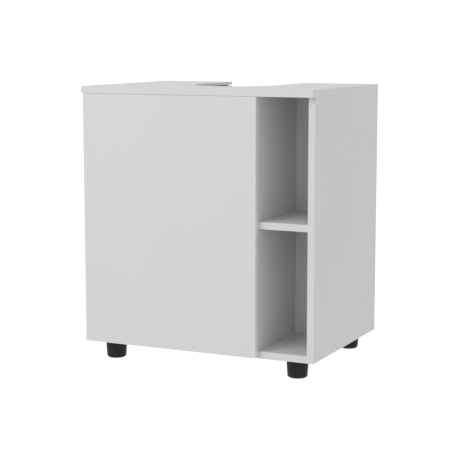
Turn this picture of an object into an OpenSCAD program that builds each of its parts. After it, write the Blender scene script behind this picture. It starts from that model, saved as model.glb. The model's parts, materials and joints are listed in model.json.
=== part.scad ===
// Free-standing vanity cabinet for under a wash basin, in millimetres.
// Origin: centre of the footprint on the floor. +X right, +Y towards the wall, +Z up.
// The door is on the left of the front, the open niche on the right.

/* [Cabinet] */
// Outer width of the carcass and of the top panel
cabinet_w = 575; // [540:5:700]
// Depth of the top panel, from its front edge to the wall
cabinet_d = 420; // [400:5:480]
// Height from the floor to the top face
cabinet_h = 644; // [600:2:760]
// Thickness of the chipboard
board_t = 16; // [16:1:18]
// Thickness of the hardboard back
back_t = 3; // [3:0.5:4]
// Thickness of the plastic edge band
band_t = 0.8; // [0.4:0.1:1]

/* [Niche] */
// Clear width of the open niche
niche_w = 117; // [100:1:150]
// Clear depth of the open niche
niche_d = 215; // [190:5:250]

/* [Siphon cut-out] */
// Width of the U-shaped cut-out in the top
cutout_w = 200; // [140:5:220]
// Depth of the cut-out, measured from the rear edge
cutout_d = 288; // [220:4:300]
// Height of the open groove in the wall of the cut-out
groove_h = 3; // [2:0.5:4]
// Depth of that groove
groove_d = 10; // [6:1:12]
// Height above the floor where the pipe opening in the back begins
pipe_opening_z = 250; // [200:10:350]

/* [Door] */
// Strip of the left side panel that the door leaves uncovered
door_reveal = 4.5; // [4.5:0.1:6]
// Gap between the door and the carcass
door_gap = 1; // [1:0.1:1.5]
// Gap above the door
door_top_gap = 0.5; // [0.5:0.5:4]
// Distance from the door's lower edge to the underside of the carcass
door_bottom_gap = 3; // [1:0.5:4]

/* [Feet] */
// Height of a foot
foot_h = 43; // [40:1:60]
// Radius of a foot where it meets the cabinet
foot_top_r = 25.3; // [20:0.1:30]
// Radius of a foot just above its rounded lower edge
foot_low_r = 22.9; // [18:0.1:26]
// Distance from the cabinet's sides to a foot's centre
foot_side = 54; // [40:1:70]
// Distance from the carcass front to the front feet's centres
foot_front = 40; // [35:1:60]
// Distance from the rear edge to the rear feet's centres
foot_rear = 36; // [35:1:60]

/* [Hinges] */
// Distance from the door's upper and lower edge to a hinge
hinge_inset = 95; // [80:5:120]
// Radius of the hinge cup's bore in the door
cup_bore_r = 17.5; // [17.5:0.1:18]

/* [Hidden] */
$fn = 64;

// Colours
white = [0.86, 0.86, 0.86];
band_white = [0.88, 0.88, 0.88];
hardboard_white = [0.82, 0.82, 0.81];
foot_black = [0.06, 0.06, 0.06];
beech = [0.76, 0.6, 0.42];
zinc = [0.66, 0.67, 0.68];
nickel = [0.74, 0.73, 0.71];
grey_plastic = [0.72, 0.73, 0.74];
magnet_grey = [0.2, 0.2, 0.22];
clear_rubber = [0.8, 0.8, 0.78];

// Play between a fastener and its hole, and overshoot of a cutting tool
play = 0.1;
cut = 1;

// Outer planes of the cabinet
half_w = cabinet_w / 2;
top_front = -cabinet_d / 2;
top_rear = cabinet_d / 2;
carcass_front = top_front + board_t + door_gap;
side_rear = top_rear - back_t;
bottom_z = foot_h;
upright_low = bottom_z + board_t;
upright_high = cabinet_h - board_t;

// Inner planes
inner_x = half_w - board_t;
niche_left = inner_x - niche_w;
divider_left = niche_left - board_t;
niche_back_y = carcass_front + niche_d;
shelf_low = (upright_low + upright_high - board_t) / 2;

// Door
door_left = -half_w + door_reveal;
door_right = niche_left;
door_low = bottom_z + door_bottom_gap;
door_high = upright_high - door_top_gap;
door_back = carcass_front - door_gap;

// Joinery: places in plan, as [x, y], where the uprights meet the top and bottom
side_mid = half_w - board_t / 2;
divider_mid = divider_left + board_t / 2;
niche_back_mid = niche_back_y + board_t / 2;
side_fixing_inset = 60;
side_dowel_inset = 28;
divider_fixing_inset = 45;
niche_dowel_inset = 25;
side_fixing_ys = [carcass_front + side_fixing_inset, side_rear - side_fixing_inset];
side_dowel_ys = [carcass_front + side_dowel_inset, side_rear - side_dowel_inset];
divider_fixing_ys = [carcass_front + divider_fixing_inset, niche_back_y - divider_fixing_inset];
divider_dowel_y = (carcass_front + niche_back_y) / 2;
niche_dowel_xs = [niche_left + niche_dowel_inset, inner_x - niche_dowel_inset];
fixings = [for (x = [-side_mid, side_mid]) for (y = side_fixing_ys) [x, y],
    for (y = divider_fixing_ys) [divider_mid, y]];
dowel_places = [for (x = [-side_mid, side_mid]) for (y = side_dowel_ys) [x, y],
    [divider_mid, divider_dowel_y], for (x = niche_dowel_xs) [x, niche_back_mid]];

// Dowel, cam and screw sizes
dowel_r = 4;
dowel_short = 10;
dowel_long = 20;
cam_r = 7.5;
cam_depth = 12.5;
cam_drop = 34;
cam_z = upright_high - cam_drop;
cam_slot_w = 1.2;
cam_slot_l = 8;
cam_slot_deep = 2;
cap_r = 8.8;
cap_t = 0.8;
bolt_r = 3;
bolt_head_r = 3.2;
bolt_neck_r = 2;
bolt_thread_r = 2.5;
bolt_thread_l = 11;
confirmat_r = 3.4;
confirmat_l = 50;
confirmat_head_r = 4.8;
confirmat_head_h = 4;

// Shelf and niche back fixings
shelf_mid_z = shelf_low + board_t / 2;
shelf_fixing_inset = 50;
niche_back_screw_inset = 100;
niche_back_dowel_inset = 80;
shelf_fixing_ys = [carcass_front + shelf_fixing_inset, niche_back_y - shelf_fixing_inset];
niche_back_screw_zs = [upright_low + niche_back_screw_inset, upright_high - niche_back_screw_inset];
niche_back_dowel_zs = [upright_low + niche_back_dowel_inset, upright_high - niche_back_dowel_inset];

// Back panel and its nails
nail_r = 0.7;
nail_head_r = 1.8;
nail_head_h = 0.8;
nail_l = 18;
nail_count = 6;
nail_margin = 40;
nail_step = (upright_high - upright_low - 2 * nail_margin) / (nail_count - 1);
nail_zs = [for (i = [0 : nail_count - 1]) upright_low + nail_margin + i * nail_step];
panel_play = 0.5;

// Feet and their screws
foot_round = 6;
foot_web_t = 16;
foot_web_z = foot_h - foot_web_t;
foot_recess_r = 7;
foot_screw_r = 2.2;
foot_screw_head_r = 4.4;
foot_screw_head_h = 3.2;
foot_screw_cover = 2.5;
foot_screw_grip = board_t - foot_screw_cover;
foot_x = half_w - foot_side;
foot_front_y = carcass_front + foot_front;
foot_rear_y = top_rear - foot_rear;

// Hinges. Their own frame: x from the side panel's inner face, y from the carcass front.
hinge_zs = [door_low + hinge_inset, door_high - hinge_inset];
hinge_x = -inner_x;
arm_pivot = [20, -7];
cup_pivot = [-2, -4];
pin_r = 1;
pin_play = 0.05;
link_half_w = 2.2;
link_half_h = 4.5;
cheek_in = 5;
sheet = 1.2;
arm_high = 15.2;
arm_web_y = 8;
arm_end = 64;
arm_outline = [[5, 12], [5, arm_end], [arm_high, arm_end], [arm_high, arm_web_y], [22.2, -6], [22.3, -8],
    [18, -9], [17.4, -6.5], [10.5, 4], [10.5, 12]];
cup_tab = 3;
cup_min_x = 9;
cup_x = max(cup_min_x, door_left - hinge_x + cup_tab + cup_bore_r);
cup_r = cup_bore_r - play;
cup_deep = 11.8;
cup_wall = 1.2;
cup_floor = 1;
flange_t = 0.6;
flange_r = cup_r + 1;
wing_x = 9.5;
wing_half_w = 6.5;
wing_round_z = 22;
wing_screw_z = 22.5;
ear_in = 5.4;
ear_t = 2;
ear_half_w = 2.5;
plate_y = 37;
plate_t = 2.5;
plate_half_w = 7;
plate_round_z = 18;
plate_screw_z = 16;
saddle_high = 6;
saddle_half_h = 4.8;
saddle_ys = [18, 60];
setting_ys = [24, 50];
setting_r = 2.4;
setting_head_r = 4.2;
setting_head_h = 2;
wood_screw_r = 1.9;
wood_screw_head_r = 3.6;
wood_screw_head_h = 1.8;
wood_screw_grip = 11;

// Push latch on the divider
latch_z = (door_low + door_high) / 2;
latch_w = 14;
latch_x = divider_left - latch_w / 2;
latch_inset = 5;
latch_front = carcass_front + latch_inset;
latch_l = 70;
latch_bore_r = 4.6;
latch_bore_l = 64;
latch_ear_t = 3;
latch_ear_y = latch_front + latch_l / 2;
latch_ear_half_w = 12;
latch_ear_half_h = 17;
latch_screw_z = 12;
plunger_r = latch_bore_r - pin_play;
plunger_gap = 0.8;
plunger_l = 60;
magnet_r = 3.5;
magnet_l = 4;
strike_t = 0.8;
strike_half_w = 9.5;
strike_half_h = 14;
strike_screw_z = 9;
plunger_front = door_back + strike_t + plunger_gap;

// Bumpers and wall brackets
bumper_r = 4;
bumper_t = 0.7;
bumper_inset = 14;
bracket_t = 2;
bracket_leg = 40;
bracket_half_h = 20;
bracket_drop = 33;
bracket_z = upright_high - bracket_drop;
bracket_reach = 28;
bracket_side_y = side_rear - bracket_reach;
bracket_screw_z = 10;
wall_hole_r = 3.2;
wall_hole_x = inner_x - bracket_reach;
wall_passage_r = 4;

// ---------------------------------------------------------------- shapes used more than once

// Box between two corners
module block(low, high) {
    translate(low) cube(high - low);
}

// Cylinders that start at a point and run along one axis
module rod_x(p, r, l) {
    translate(p) rotate([0, 90, 0]) cylinder(h = l, r = r);
}

module rod_y(p, r, l) {
    translate(p) rotate([-90, 0, 0]) cylinder(h = l, r = r);
}

module rod_z(p, r, l) {
    translate(p) cylinder(h = l, r = r);
}

// U-shaped prism of the siphon cut-out, wider on every side by grow
module cutout_prism(grow, low, high) {
    r = cutout_w / 2 + grow;
    arc_y = top_rear - cutout_d + cutout_w / 2;
    block([-r, arc_y, low], [r, top_rear + cut, high]);
    rod_z([0, arc_y, low], r, high - low);
}

// Face that a cam opens on, for the upright whose middle is at x: always the hidden one
function cam_face(x) = x < 0 ? -inner_x : x > divider_mid + cut ? inner_x : divider_left;

// Cylinder on a cam's axis, depth deep into the board and proud of its face
module cam_cylinder(p, r, depth, proud) {
    low = p.x < 0 ? cam_face(p.x) - depth : cam_face(p.x) - proud;
    rod_x([low, p.y, cam_z], r, depth + proud);
}

// Holes in the upper end of the uprights: cam bolts and dowels, and the cam bores
module upright_top_holes() {
    for (p = fixings) {
        rod_z([p.x, p.y, cam_z], bolt_r + play, cam_drop + cut);
        cam_cylinder(p, cam_r, cam_depth, cut);
    }
    for (p = dowel_places) {
        rod_z([p.x, p.y, upright_high - dowel_long - play], dowel_r + play, dowel_long + play + cut);
    }
}

// Holes in the lower end of the uprights: screws and dowels
module upright_bottom_holes() {
    for (p = fixings) {
        rod_z([p.x, p.y, upright_low - cut], confirmat_r + play, confirmat_l - board_t + play + cut);
    }
    for (p = dowel_places) {
        rod_z([p.x, p.y, upright_low - cut], dowel_r + play, dowel_long + play + cut);
    }
}

// Screw along x: the head starts at p and goes towards +x, the shank goes towards -x
module screw_towards_left(p, r, l, head_r, head_h) {
    rod_x([p.x - l, p.y, p.z], r, l);
    rod_x(p, head_r, head_h);
}

// Confirmat screw that stands on its head along +z
module confirmat() {
    cylinder(h = confirmat_head_h, r = confirmat_head_r);
    cylinder(h = confirmat_l, r = confirmat_r);
}

// Hole for a confirmat: countersink and clearance through the first board
module confirmat_hole() {
    translate([0, 0, -cut]) cylinder(h = confirmat_head_h + play + cut, r = confirmat_head_r + play);
    translate([0, 0, -cut]) cylinder(h = confirmat_l + play + cut, r = confirmat_r + play);
}

// Turns children that stand along +z so that they run along +x from p
module along_x(p) {
    translate(p) rotate([0, 90, 0]) children();
}

// The same for -y
module along_minus_y(p) {
    translate(p) rotate([90, 0, 0]) children();
}

// ---------------------------------------------------------------- boards

module top_panel() {
    groove_mid = cabinet_h - board_t / 2;
    color(white) difference() {
        block([-half_w + band_t, top_front + band_t, upright_high], [half_w - band_t, top_rear, cabinet_h]);
        cutout_prism(0, upright_high - cut, cabinet_h + cut);
        cutout_prism(groove_d, groove_mid - groove_h / 2, groove_mid + groove_h / 2);
        for (p = fixings) {
            rod_z([p.x, p.y, upright_high - cut], bolt_thread_r + play, bolt_thread_l + play + cut);
        }
        for (p = dowel_places) {
            rod_z([p.x, p.y, upright_high - cut], dowel_r + play, dowel_short + play + cut);
        }
    }
}

module bottom_panel() {
    color(white) difference() {
        block([-half_w + band_t, carcass_front + band_t, bottom_z], [half_w - band_t, top_rear, upright_low]);
        for (p = fixings) translate([p.x, p.y, bottom_z]) confirmat_hole();
        for (p = dowel_places) {
            rod_z([p.x, p.y, upright_low - dowel_short - play], dowel_r + play, dowel_short + play + cut);
        }
        for (x = [-foot_x, foot_x]) for (y = [foot_front_y, foot_rear_y]) {
            rod_z([x, y, bottom_z - cut], foot_screw_r + play, foot_screw_grip + play + cut);
        }
    }
}

// Nail holes in the rear edge of a side panel
module nail_holes(x) {
    for (z = nail_zs) rod_y([x, top_rear - nail_l, z], nail_r + play, nail_l + cut);
}

module left_side_panel() {
    color(white) difference() {
        block([-half_w, carcass_front + band_t, upright_low], [-inner_x, side_rear, upright_high]);
        upright_top_holes();
        upright_bottom_holes();
        nail_holes(-side_mid);
        for (z = hinge_zs) for (s = [-1, 1]) {
            p = [hinge_x - wood_screw_grip - play, carcass_front + plate_y, z + s * plate_screw_z];
            rod_x(p, wood_screw_r + play, wood_screw_grip + play + cut);
        }
        for (s = [-1, 1]) {
            p = [-inner_x - wood_screw_grip - play, bracket_side_y, bracket_z + s * bracket_screw_z];
            rod_x(p, wood_screw_r + play, wood_screw_grip + play + cut);
        }
    }
}

module right_side_panel() {
    color(white) difference() {
        block([inner_x, carcass_front + band_t, upright_low], [half_w, side_rear, upright_high]);
        upright_top_holes();
        upright_bottom_holes();
        nail_holes(side_mid);
        for (y = shelf_fixing_ys) {
            rod_x([inner_x - cut, y, shelf_mid_z], dowel_r + play, dowel_short + play + cut);
        }
        for (z = niche_back_dowel_zs) {
            rod_x([inner_x - cut, niche_back_mid, z], dowel_r + play, dowel_short + play + cut);
        }
        for (s = [-1, 1]) {
            p = [inner_x - cut, bracket_side_y, bracket_z + s * bracket_screw_z];
            rod_x(p, wood_screw_r + play, wood_screw_grip + play + cut);
        }
    }
}

module divider_panel() {
    color(white) difference() {
        block([divider_left, carcass_front + band_t, upright_low], [niche_left, niche_back_y, upright_high]);
        upright_top_holes();
        upright_bottom_holes();
        for (y = shelf_fixing_ys) along_x([divider_left, y, shelf_mid_z]) confirmat_hole();
        for (z = niche_back_screw_zs) {
            along_minus_y([divider_mid, niche_back_y + board_t, z]) confirmat_hole();
        }
        for (s = [-1, 1]) {
            p = [divider_left - cut, latch_ear_y, latch_z + s * latch_screw_z];
            rod_x(p, wood_screw_r + play, wood_screw_grip + play + cut);
        }
    }
}

module niche_back_panel() {
    color(white) difference() {
        block([divider_left, niche_back_y, upright_low], [inner_x, niche_back_y + board_t, upright_high]);
        upright_top_holes();
        upright_bottom_holes();
        for (z = niche_back_screw_zs) {
            along_minus_y([divider_mid, niche_back_y + board_t, z]) confirmat_hole();
        }
        for (z = niche_back_dowel_zs) {
            p = [inner_x - dowel_long - play, niche_back_mid, z];
            rod_x(p, dowel_r + play, dowel_long + play + cut);
        }
    }
}

module niche_shelf() {
    color(white) difference() {
        block([niche_left, carcass_front + band_t, shelf_low], [inner_x, niche_back_y, shelf_low + board_t]);
        for (y = shelf_fixing_ys) {
            along_x([divider_left, y, shelf_mid_z]) confirmat_hole();
            rod_x([inner_x - dowel_long - play, y, shelf_mid_z], dowel_r + play, dowel_long + play + cut);
        }
    }
}

module back_panel() {
    half = half_w - panel_play;
    color(hardboard_white) difference() {
        block([-half, side_rear, upright_low + panel_play], [half, top_rear, upright_high - panel_play]);
        r = cutout_w / 2;
        block([-r, side_rear - cut, pipe_opening_z], [r, top_rear + cut, upright_high + cut]);
        for (x = [-side_mid, side_mid]) for (z = nail_zs) {
            rod_y([x, side_rear - cut, z], nail_r + play, back_t + 2 * cut);
            rod_y([x, top_rear - nail_head_h, z], nail_head_r + play, nail_head_h + cut);
        }
        for (x = [-wall_hole_x, wall_hole_x]) {
            rod_y([x, side_rear - cut, bracket_z], wall_passage_r, back_t + 2 * cut);
        }
    }
}

// Plastic strips around the front and both sides of a panel
module three_edge_bands(front, low, high) {
    block([-half_w, front, low], [half_w, front + band_t, high]);
    block([-half_w, front + band_t, low], [-half_w + band_t, top_rear, high]);
    block([half_w - band_t, front + band_t, low], [half_w, top_rear, high]);
}

module top_edge_bands() {
    color(band_white) three_edge_bands(top_front, upright_high, cabinet_h);
}

module bottom_edge_bands() {
    color(band_white) three_edge_bands(carcass_front, bottom_z, upright_low);
}

module upright_edge_bands() {
    color(band_white) {
        for (x = [-half_w, divider_left, inner_x]) {
            block([x, carcass_front, upright_low], [x + board_t, carcass_front + band_t, upright_high]);
        }
        block([niche_left, carcass_front, shelf_low], [inner_x, carcass_front + band_t, shelf_low + board_t]);
    }
}

// ---------------------------------------------------------------- door

module door_panel() {
    low = [door_left + band_t, door_back - board_t, door_low + band_t];
    high = [door_right - band_t, door_back, door_high - band_t];
    color(white) difference() {
        block(low, high);
        for (z = hinge_zs) {
            rod_y([hinge_x + cup_x, door_back - cup_deep - play, z], cup_bore_r, cup_deep + play + cut);
            for (s = [-1, 1]) {
                p = [hinge_x + cup_x + wing_x, door_back - wood_screw_grip - play, z + s * wing_screw_z];
                rod_y(p, wood_screw_r + play, wood_screw_grip + play + cut);
            }
        }
        p = [latch_x, door_back - wood_screw_grip - play, latch_z + strike_screw_z];
        rod_y(p, wood_screw_r + play, wood_screw_grip + play + cut);
    }
}

module door_edge_bands() {
    front = door_back - board_t;
    color(band_white) {
        block([door_left, front, door_low], [door_right, door_back, door_low + band_t]);
        block([door_left, front, door_high - band_t], [door_right, door_back, door_high]);
        for (x = [door_left, door_right - band_t]) {
            block([x, front, door_low + band_t], [x + band_t, door_back, door_high - band_t]);
        }
    }
}

module door_bumpers() {
    color(clear_rubber) for (z = [door_low + bumper_inset, door_high - bumper_inset]) {
        rod_y([divider_mid, door_back, z], bumper_r, bumper_t);
    }
}

// ---------------------------------------------------------------- feet

module foot(x, y) {
    edge_r = foot_low_r - foot_round;
    color(foot_black) translate([x, y, 0]) difference() {
        union() {
            translate([0, 0, foot_round]) cylinder(h = foot_h - foot_round, r1 = foot_low_r, r2 = foot_top_r);
            rotate_extrude() translate([edge_r, foot_round]) circle(r = foot_round);
            cylinder(h = foot_round, r = edge_r);
        }
        rod_z([0, 0, -cut], foot_recess_r, foot_web_z + cut);
        rod_z([0, 0, -cut], foot_screw_r + play, foot_h + 2 * cut);
    }
}

module foot_screws() {
    color(zinc) for (x = [-foot_x, foot_x]) for (y = [foot_front_y, foot_rear_y]) {
        rod_z([x, y, foot_web_z - foot_screw_head_h], foot_screw_head_r, foot_screw_head_h);
        rod_z([x, y, foot_web_z], foot_screw_r, foot_h - foot_web_z + foot_screw_grip);
    }
}

// ---------------------------------------------------------------- carcass fasteners

module dowels() {
    l = dowel_short + dowel_long;
    color(beech) {
        for (p = dowel_places) {
            rod_z([p.x, p.y, upright_low - dowel_short], dowel_r, l);
            rod_z([p.x, p.y, upright_high - dowel_long], dowel_r, l);
        }
        for (y = shelf_fixing_ys) rod_x([inner_x - dowel_long, y, shelf_mid_z], dowel_r, l);
        for (z = niche_back_dowel_zs) rod_x([inner_x - dowel_long, niche_back_mid, z], dowel_r, l);
    }
}

module cam_bolts() {
    head_h = 3;
    neck_h = 4;
    color(zinc) for (p = fixings) {
        rod_z([p.x, p.y, cam_z - head_h], bolt_head_r, head_h);
        rod_z([p.x, p.y, cam_z], bolt_neck_r, neck_h);
        rod_z([p.x, p.y, cam_z + neck_h], bolt_r, cam_drop - neck_h);
        rod_z([p.x, p.y, upright_high], bolt_thread_r, bolt_thread_l);
    }
}

module cam_locks() {
    channel_low = 4;
    color(zinc) for (p = fixings) {
        difference() {
            cam_cylinder(p, cam_r - play, cam_depth - play, 0);
            rod_z([p.x, p.y, cam_z - channel_low], bolt_head_r + 2 * play, cam_r + channel_low + cut);
            cam_cross(p, 2 * cam_slot_deep, cam_slot_l, cam_slot_w);
        }
    }
}

// Cross in the middle of a cam's face, half of its depth in and half of it out of the board
module cam_cross(p, depth, l, w) {
    translate([cam_face(p.x), p.y, cam_z]) {
        cube([depth, l, w], center = true);
        cube([depth, w, l], center = true);
    }
}

// Caps that clip into the cams' slots
module cam_caps() {
    color(white) for (p = fixings) {
        cam_cylinder(p, cap_r, 0, cap_t);
        cam_cross(p, 2 * cap_t, cam_slot_l - 2 * play, cam_slot_w - 2 * play);
    }
}

module confirmat_screws() {
    color(zinc) {
        for (p = fixings) translate([p.x, p.y, bottom_z]) confirmat();
        for (y = shelf_fixing_ys) along_x([divider_left, y, shelf_mid_z]) confirmat();
        for (z = niche_back_screw_zs) {
            along_minus_y([divider_mid, niche_back_y + board_t, z]) confirmat();
        }
    }
}

module back_nails() {
    color(zinc) for (x = [-side_mid, side_mid]) for (z = nail_zs) {
        rod_y([x, top_rear - nail_l, z], nail_r, nail_l);
        rod_y([x, top_rear - nail_head_h, z], nail_head_r, nail_head_h);
    }
}

// ---------------------------------------------------------------- hinges

// Puts its children into the frame of the hinge at height z
module at_hinge(z) {
    translate([hinge_x, carcass_front, z]) children();
}

module hinge_plate(z) {
    color(nickel) at_hinge(z) difference() {
        union() {
            block([0, plate_y - plate_half_w, -plate_round_z], [plate_t, plate_y + plate_half_w, plate_round_z]);
            for (s = [-1, 1]) rod_x([0, plate_y, s * plate_round_z], plate_half_w, plate_t);
            block([0, saddle_ys[0], -saddle_half_h], [saddle_high, saddle_ys[1], saddle_half_h]);
        }
        for (s = [-1, 1]) {
            rod_x([-cut, plate_y, s * plate_screw_z], wood_screw_r + play, plate_t + 2 * cut);
        }
        for (y = setting_ys) rod_x([plate_t, y, 0], setting_r + play, saddle_high);
    }
}

module hinge_arm(z) {
    nose_r = 2.4;
    color(nickel) at_hinge(z) difference() {
        union() {
            for (low = [-cheek_in - sheet, cheek_in]) translate([0, 0, low]) {
                linear_extrude(height = sheet) polygon(arm_outline);
                rod_z([arm_pivot.x, arm_pivot.y, 0], nose_r, sheet);
            }
            block([arm_high - sheet, arm_web_y, -cheek_in], [arm_high, arm_end, cheek_in]);
        }
        rod_z([arm_pivot.x, arm_pivot.y, -cheek_in - 2 * sheet], pin_r + pin_play, 2 * cheek_in + 4 * sheet);
        for (y = setting_ys) rod_x([saddle_high, y, 0], setting_r + play, arm_high);
    }
}

module hinge_link(z) {
    reach = norm(cup_pivot - arm_pivot);
    turn = atan2(cup_pivot.y - arm_pivot.y, cup_pivot.x - arm_pivot.x);
    color(nickel) at_hinge(z) translate([arm_pivot.x, arm_pivot.y, -link_half_h]) rotate(turn) difference() {
        union() {
            translate([0, -link_half_w, 0]) cube([reach, 2 * link_half_w, 2 * link_half_h]);
            cylinder(h = 2 * link_half_h, r = link_half_w);
            rod_z([reach, 0, 0], link_half_w, 2 * link_half_h);
        }
        for (x = [0, reach]) rod_z([x, 0, -cut], pin_r + pin_play, 2 * link_half_h + 2 * cut);
    }
}

module hinge_cup(z) {
    back = -door_gap;
    color(nickel) at_hinge(z) difference() {
        union() {
            difference() {
                union() {
                    rod_y([cup_x, back - cup_deep, 0], cup_r, cup_deep);
                    rod_y([cup_x, back, 0], flange_r, flange_t);
                    block([cup_x + wing_x - wing_half_w, back, -wing_round_z],
                        [cup_x + wing_x + wing_half_w, back + flange_t, wing_round_z]);
                    for (s = [-1, 1]) rod_y([cup_x + wing_x, back, s * wing_round_z], wing_half_w, flange_t);
                }
                rod_y([cup_x, back - cup_deep + cup_floor, 0], cup_r - cup_wall, cup_deep + cut);
            }
            for (low = [-ear_in - ear_t, ear_in]) {
                block([cup_pivot.x - ear_half_w, back - cup_deep + cup_floor, low],
                    [cup_pivot.x + ear_half_w, back - play, low + ear_t]);
            }
        }
        rod_z([cup_pivot.x, cup_pivot.y, -ear_in - ear_t - cut], pin_r + pin_play, 2 * (ear_in + ear_t + cut));
        for (s = [-1, 1]) {
            rod_y([cup_x + wing_x, back - cut, s * wing_screw_z], wood_screw_r + play, flange_t + 2 * cut);
        }
    }
}

module hinge_arm_pins() {
    half = cheek_in + sheet;
    color(nickel) for (z = hinge_zs) at_hinge(z) rod_z([arm_pivot.x, arm_pivot.y, -half], pin_r, 2 * half);
}

module hinge_cup_pins() {
    half = ear_in + ear_t;
    color(nickel) for (z = hinge_zs) at_hinge(z) rod_z([cup_pivot.x, cup_pivot.y, -half], pin_r, 2 * half);
}

module hinge_plate_screws() {
    color(zinc) for (z = hinge_zs) at_hinge(z) for (s = [-1, 1]) {
        screw_towards_left([plate_t, plate_y, s * plate_screw_z], wood_screw_r,
            wood_screw_grip + plate_t, wood_screw_head_r, wood_screw_head_h);
    }
}

module hinge_setting_screws() {
    color(zinc) for (z = hinge_zs) at_hinge(z) for (y = setting_ys) {
        screw_towards_left([arm_high, y, 0], setting_r, arm_high - plate_t - play, setting_head_r, setting_head_h);
    }
}

module hinge_cup_screws() {
    seat = flange_t - door_gap;
    color(zinc) for (z = hinge_zs) at_hinge(z) for (s = [-1, 1]) {
        rod_y([cup_x + wing_x, seat - wood_screw_grip, s * wing_screw_z], wood_screw_r, wood_screw_grip);
        rod_y([cup_x + wing_x, seat, s * wing_screw_z], wood_screw_head_r, wood_screw_head_h);
    }
}

// ---------------------------------------------------------------- push latch

module latch_housing() {
    x0 = divider_left - latch_w;
    color(grey_plastic) difference() {
        union() {
            block([x0, latch_front, latch_z - latch_w / 2],
                [divider_left, latch_front + latch_l, latch_z + latch_w / 2]);
            block([divider_left - latch_ear_t, latch_ear_y - latch_ear_half_w, latch_z - latch_ear_half_h],
                [divider_left, latch_ear_y + latch_ear_half_w, latch_z + latch_ear_half_h]);
        }
        rod_y([latch_x, latch_front - cut, latch_z], latch_bore_r, latch_bore_l + cut);
        for (s = [-1, 1]) {
            p = [divider_left - latch_ear_t - cut, latch_ear_y, latch_z + s * latch_screw_z];
            rod_x(p, wood_screw_r + play, latch_ear_t + 2 * cut);
        }
    }
}

module latch_plunger() {
    color(white) difference() {
        rod_y([latch_x, plunger_front, latch_z], plunger_r, plunger_l);
        rod_y([latch_x, plunger_front - cut, latch_z], magnet_r, magnet_l + cut);
    }
}

module latch_magnet() {
    color(magnet_grey) rod_y([latch_x, plunger_front, latch_z], magnet_r - pin_play, magnet_l - pin_play);
}

module latch_screws() {
    seat = divider_left - latch_ear_t;
    color(zinc) for (s = [-1, 1]) {
        z = latch_z + s * latch_screw_z;
        rod_x([seat, latch_ear_y, z], wood_screw_r, wood_screw_grip);
        rod_x([seat - wood_screw_head_h, latch_ear_y, z], wood_screw_head_r, wood_screw_head_h);
    }
}

module strike_plate() {
    color(nickel) difference() {
        block([latch_x - strike_half_w, door_back, latch_z - strike_half_h],
            [latch_x + strike_half_w, door_back + strike_t, latch_z + strike_half_h]);
        p = [latch_x, door_back - cut, latch_z + strike_screw_z];
        rod_y(p, wood_screw_r + play, strike_t + 2 * cut);
    }
}

module strike_screw() {
    seat = door_back + strike_t;
    color(zinc) {
        rod_y([latch_x, seat - wood_screw_grip, latch_z + strike_screw_z], wood_screw_r, wood_screw_grip);
        rod_y([latch_x, seat, latch_z + strike_screw_z], wood_screw_head_r, wood_screw_head_h);
    }
}

// ---------------------------------------------------------------- wall brackets

// Angle bracket in a rear corner; side is -1 on the left and 1 on the right
module wall_bracket(side) {
    color(zinc) mirror([side < 0 ? 1 : 0, 0, 0]) difference() {
        union() {
            block([inner_x - bracket_t, side_rear - bracket_leg, bracket_z - bracket_half_h],
                [inner_x, side_rear, bracket_z + bracket_half_h]);
            block([inner_x - bracket_leg, side_rear - bracket_t, bracket_z - bracket_half_h],
                [inner_x, side_rear, bracket_z + bracket_half_h]);
        }
        rod_y([wall_hole_x, side_rear - bracket_t - cut, bracket_z], wall_hole_r, bracket_t + 2 * cut);
        for (s = [-1, 1]) {
            p = [inner_x - bracket_t - cut, bracket_side_y, bracket_z + s * bracket_screw_z];
            rod_x(p, wood_screw_r + play, bracket_t + 2 * cut);
        }
    }
}

module bracket_screws() {
    seat = inner_x - bracket_t;
    color(zinc) for (m = [0, 1]) mirror([m, 0, 0]) for (s = [-1, 1]) {
        z = bracket_z + s * bracket_screw_z;
        rod_x([seat, bracket_side_y, z], wood_screw_r, wood_screw_grip);
        rod_x([seat - wood_screw_head_h, bracket_side_y, z], wood_screw_head_r, wood_screw_head_h);
    }
}

// ---------------------------------------------------------------- nodes

top_panel();
bottom_panel();
left_side_panel();
right_side_panel();
divider_panel();
niche_back_panel();
niche_shelf();
back_panel();
top_edge_bands();
bottom_edge_bands();
upright_edge_bands();
door_panel();
door_edge_bands();
foot(-foot_x, foot_front_y);  // foot_front_left
foot(foot_x, foot_front_y);  // foot_front_right
foot(-foot_x, foot_rear_y);  // foot_rear_left
foot(foot_x, foot_rear_y);  // foot_rear_right
foot_screws();
dowels();
cam_bolts();
cam_locks();
cam_caps();
confirmat_screws();
back_nails();
hinge_plate(hinge_zs[1]);  // upper_hinge_plate
hinge_plate(hinge_zs[0]);  // lower_hinge_plate
hinge_arm(hinge_zs[1]);  // upper_hinge_arm
hinge_arm(hinge_zs[0]);  // lower_hinge_arm
hinge_link(hinge_zs[1]);  // upper_hinge_link
hinge_link(hinge_zs[0]);  // lower_hinge_link
hinge_cup(hinge_zs[1]);  // upper_hinge_cup
hinge_cup(hinge_zs[0]);  // lower_hinge_cup
hinge_arm_pins();
hinge_cup_pins();
hinge_plate_screws();
hinge_setting_screws();
hinge_cup_screws();
latch_housing();
latch_plunger();
latch_magnet();
latch_screws();
strike_plate();
strike_screw();
door_bumpers();
wall_bracket(-1);  // left_wall_bracket
wall_bracket(1);  // right_wall_bracket
bracket_screws();
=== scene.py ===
import json
import math

import bmesh
import bpy
from mathutils import Matrix, Vector


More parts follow.
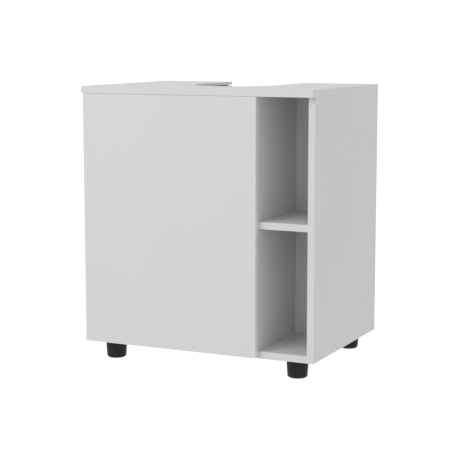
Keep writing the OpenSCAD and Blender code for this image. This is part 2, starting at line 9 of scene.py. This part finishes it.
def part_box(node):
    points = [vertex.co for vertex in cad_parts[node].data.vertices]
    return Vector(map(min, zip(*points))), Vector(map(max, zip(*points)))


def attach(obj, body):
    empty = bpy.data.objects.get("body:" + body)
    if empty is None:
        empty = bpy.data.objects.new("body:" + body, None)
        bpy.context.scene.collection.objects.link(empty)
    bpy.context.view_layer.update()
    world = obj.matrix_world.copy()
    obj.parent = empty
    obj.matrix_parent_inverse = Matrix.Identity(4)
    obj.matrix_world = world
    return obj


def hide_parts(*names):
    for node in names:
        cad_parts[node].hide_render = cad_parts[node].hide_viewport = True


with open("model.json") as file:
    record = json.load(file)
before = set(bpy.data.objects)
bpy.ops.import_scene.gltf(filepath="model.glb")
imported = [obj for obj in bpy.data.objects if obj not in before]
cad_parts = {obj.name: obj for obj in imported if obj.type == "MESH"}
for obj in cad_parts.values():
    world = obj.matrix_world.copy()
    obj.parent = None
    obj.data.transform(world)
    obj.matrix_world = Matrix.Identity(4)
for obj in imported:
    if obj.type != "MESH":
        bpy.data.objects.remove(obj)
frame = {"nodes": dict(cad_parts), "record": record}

NODES = frame["nodes"]
BODY_OF = {node: body for body, nodes in frame["record"]["behaviour"]["bodies"].items() for node in nodes}
SCENE = bpy.context.scene
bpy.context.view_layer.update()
MM = 0.001
STUDIO_R = 9.0


# ---------------------------------------------------------------- camera, light and floor

def make_camera():
    """Camera that looks down a little at the front and the right side, from its own fitted place."""
    data = bpy.data.cameras.new("camera")
    data.sensor_width = 36.0
    data.lens = 107.04
    data.clip_end = 100.0
    camera = bpy.data.objects.new("camera", data)
    SCENE.collection.objects.link(camera)
    camera.location = (1.3781, -2.9268, 0.7589)
    turn, tilt = math.radians(25.32), math.radians(8.085)
    camera.rotation_euler = (math.pi / 2 - tilt, 0.0, turn)
    SCENE.camera = camera


def make_world(strength):
    """Even white light from all round."""
    world = bpy.data.worlds.new("studio")
    world.use_nodes = True
    background = world.node_tree.nodes["Background"]
    background.inputs["Color"].default_value = (1.0, 1.0, 1.0, 1.0)
    background.inputs["Strength"].default_value = strength
    SCENE.world = world
    SCENE.view_settings.view_transform = "Standard"
    SCENE.view_settings.look = "None"


def soft_light(name, place, target, size, watts):
    """Round area lamp that looks at a target."""
    data = bpy.data.lights.new(name, "AREA")
    data.shape = "DISK"
    data.size = size
    data.energy = watts
    lamp = bpy.data.objects.new(name, data)
    SCENE.collection.objects.link(lamp)
    lamp.location = place
    lamp.rotation_euler = (Vector(target) - Vector(place)).to_track_quat("-Z", "Y").to_euler()
    lamp.visible_camera = False


def glowing_white(name, glow):
    """Plain white that stays white without any light on it."""
    material = bpy.data.materials.new(name)
    material.use_nodes = True
    shader = material.node_tree.nodes["Principled BSDF"]
    shader.inputs["Base Color"].default_value = (0.0, 0.0, 0.0, 1.0)
    shader.inputs["Specular IOR Level"].default_value = 0.0
    shader.inputs["Emission Color"].default_value = (1.0, 1.0, 1.0, 1.0)
    shader.inputs["Emission Strength"].default_value = glow
    return material


def make_studio():
    """White floor and dome that only the camera sees, so that the world's light reaches everything."""
    white = glowing_white("studio_white", 1.05)
    below_feet = Matrix.Translation((0.0, 0.0, -0.5 * MM))
    bm = bmesh.new()
    bmesh.ops.create_circle(bm, cap_ends=True, segments=64, radius=STUDIO_R, matrix=below_feet)
    floor = new_object("floor", bm)
    bm = bmesh.new()
    bmesh.ops.create_uvsphere(bm, u_segments=48, v_segments=24, radius=STUDIO_R)
    dome = new_object("backdrop", bm)
    for piece in (floor, dome):
        piece.data.materials.append(white)
        for flag in ("visible_diffuse", "visible_glossy", "visible_transmission", "visible_shadow"):
            setattr(piece, flag, False)


# ---------------------------------------------------------------- meshes

def new_object(name, bm):
    """Object from a bmesh, which is freed."""
    mesh = bpy.data.meshes.new(name)
    bm.normal_update()
    bm.to_mesh(mesh)
    bm.free()
    obj = bpy.data.objects.new(name, mesh)
    SCENE.collection.objects.link(obj)
    return obj


def soften(node, width, segments=2):
    """Rounds the sharp edges of a CAD node with modifiers."""
    obj = NODES[node]
    weld = obj.modifiers.new("weld", "WELD")
    weld.merge_threshold = 0.00001
    bevel = obj.modifiers.new("bevel", "BEVEL")
    bevel.width = width
    bevel.segments = segments
    bevel.limit_method = "ANGLE"
    bevel.angle_limit = math.radians(50)
    bevel.harden_normals = False
    bevel.use_clamp_overlap = True
    bevel.miter_outer = "MITER_ARC"


def islands(node):
    """Points of each separate solid in a CAD node, in a fixed order."""
    mesh = NODES[node].data
    key = [tuple(round(c, 6) for c in v.co) for v in mesh.vertices]
    parent = {k: k for k in key}

    def root(k):
        while parent[k] != k:
            parent[k] = parent[parent[k]]
            k = parent[k]
        return k

    for edge in mesh.edges:
        a, b = (root(key[i]) for i in edge.vertices)
        parent[a] = b
    groups = {}
    for k in key:
        groups.setdefault(root(k), []).append(k)
    return [[Vector(p) for p in sorted(points)] for _, points in sorted(groups.items())]


def put_in_place_of(node, piece, material):
    """Finishes a new piece and lets it stand for a CAD node on the same body."""
    mesh = piece.data
    mesh.materials.append(material)
    for polygon in mesh.polygons:
        polygon.use_smooth = True
    mesh.set_sharp_from_angle(angle=math.radians(40))
    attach(piece, BODY_OF[node])
    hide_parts(node)


# ---------------------------------------------------------------- materials

class Shader:
    """A material's node tree, with short calls for the nodes used here."""

    def __init__(self, name):
        self.material = bpy.data.materials.new(name)
        self.material.use_nodes = True
        self.tree = self.material.node_tree
        self.bsdf = self.tree.nodes["Principled BSDF"]
        self.place = self.add("ShaderNodeTexCoord")

    def add(self, kind, **settings):
        node = self.tree.nodes.new(kind)
        for key, value in settings.items():
            setattr(node, key, value)
        return node

    def link(self, source, target):
        self.tree.links.new(source, target)

    def set(self, **values):
        for key, value in values.items():
            self.bsdf.inputs[key.replace("_", " ")].default_value = value

    def surface(self, colour, roughness):
        """Connects the base colour and the roughness."""
        self.link(colour, self.bsdf.inputs["Base Color"])
        self.link(roughness, self.bsdf.inputs["Roughness"])

    def noise(self, scale, detail=4.0, roughness=0.6, stretch=(1, 1, 1)):
        """Noise in the cabinet's own metres; scale is in cells per metre."""
        mapping = self.add("ShaderNodeMapping")
        mapping.inputs["Scale"].default_value = stretch
        self.link(self.place.outputs["Object"], mapping.inputs["Vector"])
        node = self.add("ShaderNodeTexNoise")
        node.inputs["Scale"].default_value = scale
        node.inputs["Detail"].default_value = detail
        node.inputs["Roughness"].default_value = roughness
        self.link(mapping.outputs["Vector"], node.inputs["Vector"])
        return node.outputs["Fac"]

    def ramp(self, factor, stops):
        """Colour ramp through (position, colour) stops."""
        node = self.add("ShaderNodeValToRGB")
        elements = node.color_ramp.elements
        while len(elements) < len(stops):
            elements.new(0.5)
        for element, (position, colour) in zip(elements, stops):
            element.position = position
            element.color = (*colour, 1.0)
        self.link(factor, node.inputs["Fac"])
        return node.outputs["Color"]

    def span(self, factor, low, high):
        """Maps a 0 to 1 factor to low to high."""
        node = self.add("ShaderNodeMapRange")
        node.inputs["To Min"].default_value = low
        node.inputs["To Max"].default_value = high
        self.link(factor, node.inputs["Value"])
        return node.outputs["Result"]

    def math(self, operation, a, b=None):
        node = self.add("ShaderNodeMath", operation=operation)
        for socket, value in zip(node.inputs, (a, b)):
            if isinstance(value, (int, float)):
                socket.default_value = value
            elif value is not None:
                self.link(value, socket)
        return node.outputs["Value"]

    def mix(self, factor, a, b):
        node = self.add("ShaderNodeMix", data_type="RGBA")
        self.link(factor, node.inputs["Factor"])
        self.link(a, node.inputs["A"])
        self.link(b, node.inputs["B"])
        return node.outputs["Result"]

    def bump(self, height, strength, distance):
        node = self.add("ShaderNodeBump")
        node.inputs["Strength"].default_value = strength
        node.inputs["Distance"].default_value = distance
        self.link(height, node.inputs["Height"])
        self.link(node.outputs["Normal"], self.bsdf.inputs["Normal"])

    def axis(self, output, index):
        """One component of the object's own position or normal."""
        node = self.add("ShaderNodeSeparateXYZ")
        self.link(self.place.outputs[output], node.inputs["Vector"])
        return node.outputs[index]


def shades(level, spread):
    """Two greys around a level."""
    return (level - spread,) * 3, (level + spread,) * 3


CHIP_STOPS = [(0.0, (0.13, 0.085, 0.05)), (0.4, (0.36, 0.26, 0.16)), (0.62, (0.5, 0.38, 0.25)),
              (1.0, (0.66, 0.54, 0.39))]
HARDBOARD_STOPS = [(0.3, (0.2, 0.12, 0.062)), (0.5, (0.28, 0.175, 0.095)), (0.7, (0.37, 0.24, 0.135))]


def chipboard_colour(shader):
    """Colour and height of pressed wood chips."""
    cells = shader.add("ShaderNodeTexVoronoi", feature="F1")
    cells.inputs["Scale"].default_value = 620.0
    mapping = shader.add("ShaderNodeMapping")
    mapping.inputs["Scale"].default_value = (0.45, 1.0, 1.4)
    shader.link(shader.place.outputs["Object"], mapping.inputs["Vector"])
    shader.link(mapping.outputs["Vector"], cells.inputs["Vector"])
    grey = shader.add("ShaderNodeRGBToBW")
    shader.link(cells.outputs["Color"], grey.inputs["Color"])
    dust = shader.span(shader.noise(2400, 3.0), 0.17, 0.33)
    factor = shader.math("ADD", shader.math("MULTIPLY", grey.outputs["Val"], 0.75), dust)
    return shader.ramp(factor, CHIP_STOPS), grey.outputs["Val"]


def melamine(name, level=0.655, raw=None):
    """White melamine face: satin, with a fine pearl texture; raw(shader) masks where chipboard shows."""
    shader = Shader(name)
    low, high = shades(level, 0.009)
    fine = shader.noise(1500, 3.0)
    broad = shader.noise(9, 3.0, stretch=(1, 1, 0.4))
    tone = shader.math("ADD", shader.math("MULTIPLY", fine, 0.6), shader.math("MULTIPLY", broad, 0.4))
    face = shader.ramp(tone, [(0.3, low), (0.7, high)])
    height = shader.math("ADD", fine, shader.math("MULTIPLY", shader.noise(420, 2.0), 0.7))
    rough = shader.span(shader.noise(180, 2.0), 0.4, 0.5)
    if raw:
        mask = raw(shader)
        chips, chip_height = chipboard_colour(shader)
        face = shader.mix(mask, face, chips)
        rough = shader.math("ADD", rough, shader.math("MULTIPLY", mask, 0.35))
        chip_bumps = shader.math("MULTIPLY", shader.math("MULTIPLY", mask, chip_height), 5.0)
        height = shader.math("ADD", height, chip_bumps)
    shader.surface(face, rough)
    shader.set(Specular_IOR_Level=0.4)
    shader.bump(height, 0.1, 0.00012)
    return shader.material


def rear_edge(shader):
    """Faces that look at the wall."""
    return shader.math("GREATER_THAN", shader.axis("Normal", 1), 0.7)


def upright_raw(shader):
    """Rear edge and both ends of an upright board."""
    ends = shader.math("GREATER_THAN", shader.math("ABSOLUTE", shader.axis("Normal", 2)), 0.7)
    return shader.math("MAXIMUM", rear_edge(shader), ends)


def edge_band(name, level):
    """Plastic edge band: smoother than the board's face."""
    shader = Shader(name)
    low, high = shades(level, 0.006)
    shader.surface(shader.ramp(shader.noise(700, 2.0), [(0.35, low), (0.65, high)]),
                   shader.span(shader.noise(260, 2.0), 0.34, 0.44))
    shader.set(Specular_IOR_Level=0.45)
    shader.bump(shader.noise(900, 2.0), 0.06, 0.0001)
    return shader.material


def hardboard(name):
    """Thin fibreboard: white lacquer inside, brown fibres on the side towards the wall."""
    shader = Shader(name)
    low, high = shades(0.6, 0.012)
    white = shader.ramp(shader.noise(500, 3.0), [(0.3, low), (0.7, high)])
    fibres = shader.noise(420, 6.0, 0.75, stretch=(1, 1, 1.6))
    clouds = shader.math("MULTIPLY", shader.noise(14, 4.0), 0.2)
    tone = shader.math("ADD", shader.math("MULTIPLY", fibres, 0.8), clouds)
    brown = shader.ramp(tone, HARDBOARD_STOPS)
    inside = shader.math("LESS_THAN", shader.axis("Normal", 1), -0.7)
    shader.surface(shader.mix(inside, brown, white), shader.span(fibres, 0.5, 0.75))
    shader.bump(fibres, 0.2, 0.0002)
    return shader.material


def moulded_plastic(name, level, rough, grain, shine=0.5):
    """Moulded plastic with a fine spark-eroded grain."""
    shader = Shader(name)
    low, high = (level * 0.88,) * 3, (level * 1.12,) * 3
    shader.surface(shader.ramp(shader.noise(1400, 3.0), [(0.3, low), (0.7, high)]),
                   shader.span(shader.noise(300, 3.0), rough - 0.06, rough + 0.06))
    shader.set(Specular_IOR_Level=shine)
    shader.bump(shader.noise(2200, 3.0), grain, 0.00015)
    return shader.material


def plated_steel(name, tones, rough, warmth=-0.01, stretch=(1, 1, 1)):
    """Plated sheet steel; a stretch draws the noise out into faint lines."""
    shader = Shader(name)
    dark, light = ((tone + warmth, tone, tone - warmth) for tone in tones)
    lines = shader.noise(1100, 4.0, 0.6, stretch=stretch)
    shader.surface(shader.ramp(lines, [(0.3, dark), (0.7, light)]),
                   shader.span(shader.noise(240, 3.0), rough - 0.06, rough + 0.08))
    shader.set(Metallic=1.0)
    shader.bump(lines, 0.03, 0.00003)
    return shader.material


def beech_wood(name):
    """Beech with its grain along the height."""
    shader = Shader(name)
    grain = shader.noise(500, 5.0, 0.6, stretch=(1, 1, 0.08))
    colour = shader.ramp(grain, [(0.3, (0.42, 0.26, 0.13)), (0.7, (0.62, 0.44, 0.26))])
    shader.surface(colour, shader.span(grain, 0.55, 0.7))
    shader.bump(grain, 0.15, 0.0001)
    return shader.material


def clear_rubber(name):
    """Milky soft plastic that lets some light through."""
    shader = Shader(name)
    colour = shader.ramp(shader.noise(600, 2.0), [(0.3, (0.62, 0.62, 0.6)), (0.7, (0.7, 0.7, 0.68))])
    shader.surface(colour, shader.span(shader.noise(200, 2.0), 0.3, 0.4))
    shader.set(Transmission_Weight=0.3)
    shader.bump(shader.noise(900, 2.0), 0.05, 0.0001)
    return shader.material


# CAD nodes by material. New pieces replace the screws and the latch's body, so these aren't here.
PAINTED = {
    "melamine_level": ["top_panel", "bottom_panel"],
    "melamine_upright": ["left_side_panel", "right_side_panel"],
    "melamine_face": ["divider_panel", "niche_back_panel", "niche_shelf", "door_panel"],
    "edge_band": ["top_edge_bands", "bottom_edge_bands", "upright_edge_bands"],
    # The door's edge bands get a lighter copy of the edge band: painted light on the door's side face.
    "door_edge_band": ["door_edge_bands"],
    "hardboard": ["back_panel"],
    "black_plastic": ["foot_front_left", "foot_front_right", "foot_rear_left", "foot_rear_right"],
    "white_plastic": ["latch_plunger", "cam_caps"],
    "magnet": ["latch_magnet"],
    "beech": ["dowels"],
    "clear_rubber": ["door_bumpers"],
    "zinc": ["cam_bolts", "cam_locks", "back_nails", "left_wall_bracket", "right_wall_bracket"],
    "nickel": ["upper_hinge_plate", "lower_hinge_plate", "upper_hinge_arm", "lower_hinge_arm",
               "upper_hinge_link", "lower_hinge_link", "upper_hinge_cup", "lower_hinge_cup",
               "hinge_arm_pins", "hinge_cup_pins", "strike_plate"],
}


# Each material's maker and its values.
FINISHES = {
    "melamine_level": (melamine, {"raw": rear_edge}),
    "melamine_upright": (melamine, {"raw": upright_raw}),
    "melamine_face": (melamine, {}),
    "edge_band": (edge_band, {"level": 0.65}),
    # Same edge band painted lighter (0.78 against 0.65): painted light standing in for extra light on the
    # door's side face.
    "door_edge_band": (edge_band, {"level": 0.78}),
    "hardboard": (hardboard, {}),
    "black_plastic": (moulded_plastic, {"level": 0.0075, "rough": 0.5, "grain": 0.25, "shine": 0.3}),
    "white_plastic": (moulded_plastic, {"level": 0.68, "rough": 0.38, "grain": 0.1}),
    "grey_plastic": (moulded_plastic, {"level": 0.42, "rough": 0.42, "grain": 0.15}),
    "magnet": (plated_steel, {"tones": (0.13, 0.22), "rough": 0.4}),
    "zinc": (plated_steel, {"tones": (0.59, 0.67), "rough": 0.34}),
    "nickel": (plated_steel, {"tones": (0.61, 0.68), "rough": 0.28, "warmth": 0.01,
                              "stretch": (1, 0.06, 1)}),
    "beech": (beech_wood, {}),
    "clear_rubber": (clear_rubber, {}),
}


def paint_cad():
    """Gives every CAD node in the table its material."""
    for name, nodes in PAINTED.items():
        for node in nodes:
            slots = NODES[node].data.materials
            slots.clear()
            slots.append(MATERIALS[name])


def soften_cad():
    """Rounds the edges of the CAD nodes that show."""
    for node in ("top_panel", "bottom_panel", "left_side_panel", "right_side_panel", "divider_panel",
                 "niche_back_panel", "niche_shelf", "door_panel", "back_panel"):
        soften(node, 0.25 * MM)
    for node in ("top_edge_bands", "upright_edge_bands", "door_edge_bands"):
        soften(node, 0.2 * MM)
    soften("bottom_edge_bands", 0.5 * MM)
    for end in ("upper", "lower"):
        for part in ("plate", "arm", "link", "cup"):
            soften(f"{end}_hinge_{part}", 0.25 * MM)
    for node in ("latch_plunger", "strike_plate", "left_wall_bracket", "right_wall_bracket", "cam_caps"):
        soften(node, 0.3 * MM)


# ---------------------------------------------------------------- fasteners

def measure(points):
    """Place and sizes of a CAD screw: its head's outer middle, direction out of the head, and radii."""
    low = Vector(tuple(min(p[i] for p in points) for i in range(3)))
    high = Vector(tuple(max(p[i] for p in points) for i in range(3)))
    along = max(range(3), key=lambda i: high[i] - low[i])
    middle = (low + high) / 2
    across = [i for i in range(3) if i != along]
    radial = [math.hypot(*(p[i] - middle[i] for i in across)) for p in points]
    head_r = max(radial)
    head = [p[along] for p, r in zip(points, radial) if r > 0.9 * head_r]
    shank_r = max(r for r in radial if r < 0.9 * head_r)
    outward = 1 if high[along] - max(head) < min(head) - low[along] else -1
    top = middle.copy()
    top[along] = high[along] if outward > 0 else low[along]
    direction = Vector([outward if i == along else 0.0 for i in range(3)])
    return top, direction, high[along] - low[along], head_r, max(head) - min(head), shank_r


def ring(bm, radius, z, segments, place):
    """Closed ring of vertices around the local z axis; a radius may be a function of the turn."""
    verts = []
    for k in range(segments):
        turn = 2 * math.pi * k / segments
        r = radius(turn) if callable(radius) else radius
        verts.append(bm.verts.new(place @ Vector((r * math.cos(turn), r * math.sin(turn), z))))
    return verts


def skin(bm, rings):
    """Faces between neighbouring rings of the same length."""
    for a, b in zip(rings, rings[1:]):
        for k in range(len(a)):
            j = (k + 1) % len(a)
            bm.faces.new((a[k], a[j], b[j], b[k]))


def cross_outline(reach):
    """Twelve corners of a cross recess."""
    w = 0.27 * reach
    quarter = [(reach, -w), (reach, w), (w, w)]
    turns = ((1, 0), (0, 1), (-1, 0), (0, -1))
    return [(x * c - y * s, x * s + y * c) for c, s in turns for x, y in quarter]


def hex_outline(reach):
    """Six corners of a hexagon socket."""
    return [(reach * math.cos(math.pi * k / 3), reach * math.sin(math.pi * k / 3)) for k in range(6)]


def add_recess(bm, rim, outline, depth, place):
    """Flat head top between its rim and a tapered recess."""
    mouth = [bm.verts.new(place @ Vector((x, y, 0.0))) for x, y in outline]
    floor = [bm.verts.new(place @ Vector((0.7 * x, 0.7 * y, -depth))) for x, y in outline]
    edges = [bm.edges.new((mouth[k], mouth[(k + 1) % len(mouth)])) for k in range(len(mouth))]
    edges += [bm.edges.get((rim[k], rim[(k + 1) % len(rim)])) for k in range(len(rim))]
    bmesh.ops.triangle_fill(bm, edges=edges, use_beauty=True)
    skin(bm, [mouth, floor])
    bm.faces.new(floor)


PAN_HEAD = [(0.66, 0.0), (0.84, 0.14), (0.95, 0.4), (1.0, 0.75), (0.98, 1.0)]
SUNK_HEAD = [(0.93, 0.0), (1.0, 0.04), (1.0, 0.2), (0.78, 1.0)]


def add_screw(bm, points, head_profile, outline, reach, pitch):
    """Screw with a shaped head, a recess, a helical thread and a point, in place of a CAD one."""
    top, direction, length, head_r, head_h, shank_r = measure(points)
    place = Matrix.Translation(top) @ direction.to_track_quat("Z", "Y").to_matrix().to_4x4()
    sides = 28
    rings = [ring(bm, f * head_r, -d * head_h, sides, place) for f, d in head_profile]
    depth = head_h
    tip = length - 1.6 * shank_r
    core = 0.72 * shank_r
    while depth < length - 0.02 * MM:
        taper = min(1.0, (length - depth) / (length - tip))

        def thread_r(turn):
            crest = thread_height(depth / pitch - turn / (2 * math.pi))
            return taper * (core + (shank_r - core) * crest)

        rings.append(ring(bm, thread_r, -depth, sides, place))
        depth += pitch / 5
    rings.append(ring(bm, 0.02 * shank_r, -length, sides, place))
    skin(bm, rings)
    bm.faces.new(rings[-1])
    add_recess(bm, rings[0], outline(reach * head_r), 0.85 * head_h, place)


def thread_height(phase):
    """Height of a thread from 0 to 1, with a sharp crest and a wide root."""
    return max(0.0, 1.0 - 2.6 * abs(phase - math.floor(phase) - 0.5))


def replace_screws(node, head_profile=PAN_HEAD, outline=cross_outline, reach=0.5, pitch=1.4 * MM):
    """One new piece with all the screws of a CAD node."""
    bm = bmesh.new()
    for points in islands(node):
        add_screw(bm, points, head_profile, outline, reach, pitch)
    bmesh.ops.recalc_face_normals(bm, faces=bm.faces)
    put_in_place_of(node, new_object(f"{node}_detailed", bm), MATERIALS["zinc"])


def make_fasteners():
    for node in ("hinge_plate_screws", "hinge_setting_screws", "hinge_cup_screws", "latch_screws",
                 "strike_screw", "bracket_screws", "foot_screws"):
        replace_screws(node)
    replace_screws("confirmat_screws", SUNK_HEAD, hex_outline, 0.48, 3.0 * MM)


# ---------------------------------------------------------------- push latch

def rounded_outline(half_a, half_b, radius, steps=5):
    """Outline of a rounded rectangle, anticlockwise."""
    points = []
    for quarter, (sa, sb) in enumerate(((1, 1), (-1, 1), (-1, -1), (1, -1))):
        for k in range(steps + 1):
            turn = math.pi / 2 * (quarter + k / steps)
            points.append((sa * (half_a - radius) + radius * math.cos(turn),
                           sb * (half_b - radius) + radius * math.sin(turn)))
    return points


def section(bm, outline, place, along):
    """Vertices of an outline at a distance along the local z axis."""
    return [bm.verts.new(place @ Vector((a, b, along))) for a, b in outline]


def add_plate(bm, outline_at, thickness, chamfer, place):
    """Closed plate with chamfered rims; outline_at(inset) gives its outline."""
    steps = [(chamfer, 0.0), (0.0, chamfer), (0.0, thickness - chamfer), (chamfer, thickness)]
    rings = [section(bm, outline_at(inset), place, along) for inset, along in steps]
    skin(bm, rings)
    bm.faces.new(rings[0])
    bm.faces.new(rings[-1])


def make_latch():
    """Moulded latch body with a collar, a round bore for the plunger, grip grooves and two ears."""
    low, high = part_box("latch_housing")
    plunger_low, plunger_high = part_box("latch_plunger")
    middle = (low + high) / 2
    half = (high.x - low.x) / 2
    length = high.y - low.y
    mouth = (plunger_high.x - plunger_low.x) / 2 + 0.05 * MM
    round_r, chamfer = 2.2 * MM, 0.6 * MM
    place = Matrix.Translation((middle.x, low.y, middle.z)) @ Matrix.Rotation(-math.pi / 2, 4, "X")
    profile = [(chamfer, 0.0), (0.0, chamfer)]
    profile += [(0.0, 6 * MM), (0.5 * MM, 6.2 * MM), (0.5 * MM, 7.2 * MM), (0.0, 7.4 * MM)]
    for k in range(4):
        groove = length - (8 + 2.6 * k) * MM
        profile += [(0.0, groove - 0.9 * MM), (0.4 * MM, groove - 0.7 * MM),
                    (0.4 * MM, groove - 0.2 * MM), (0.0, groove)]
    profile = sorted(profile, key=lambda f: f[1]) + [(0.0, length - chamfer), (chamfer, length)]
    bm = bmesh.new()
    rings = [section(bm, rounded_outline(half - inset, half - inset, round_r - inset), place, along)
             for inset, along in profile]
    skin(bm, rings)
    bm.faces.new(rings[-1])
    lips = [ring(bm, mouth + 0.5 * MM, 0.0, 32, place), ring(bm, mouth, 0.5 * MM, 32, place),
            ring(bm, mouth, length - 6 * MM, 32, place)]
    skin(bm, lips)
    bm.faces.new(lips[-1])
    edges = [bm.edges.get((r[k], r[(k + 1) % len(r)])) for r in (rings[0], lips[0]) for k in range(len(r))]
    bmesh.ops.triangle_fill(bm, edges=edges, use_beauty=True)
    add_ears(bm, low, high, mouth + 0.4 * MM)
    bmesh.ops.recalc_face_normals(bm, faces=bm.faces)
    piece = new_object("latch_housing_moulded", bm)
    put_in_place_of("latch_housing", piece, MATERIALS["grey_plastic"])


def add_ears(bm, low, high, start):
    """Two rounded ears against the divider for the latch's screws, clear of the plunger's bore."""
    middle = (low + high) / 2
    half_y, half_z, thickness = 12 * MM, (high.z - low.z) / 2, 3 * MM
    place = Matrix.Translation((high.x - thickness, middle.y, middle.z))
    place = place @ Matrix.Rotation(math.pi / 2, 4, "Y")
    for side in (-1, 1):
        def outline_at(inset):
            points = rounded_outline(half_z - inset, half_y - inset, 4 * MM - inset)
            return [(side * max(side * a, start + inset), b) for a, b in points]
        add_plate(bm, outline_at, thickness, 0.4 * MM, place)


# ---------------------------------------------------------------- build

make_camera()
make_world(0.80)
make_studio()
soft_light("front_light", (-1.6, -3.4, 2.9), (0.0, 0.0, 0.3), 2.4, 55.0)
MATERIALS = {name: make(name, **values) for name, (make, values) in FINISHES.items()}
paint_cad()
soften_cad()
make_fasteners()
make_latch()
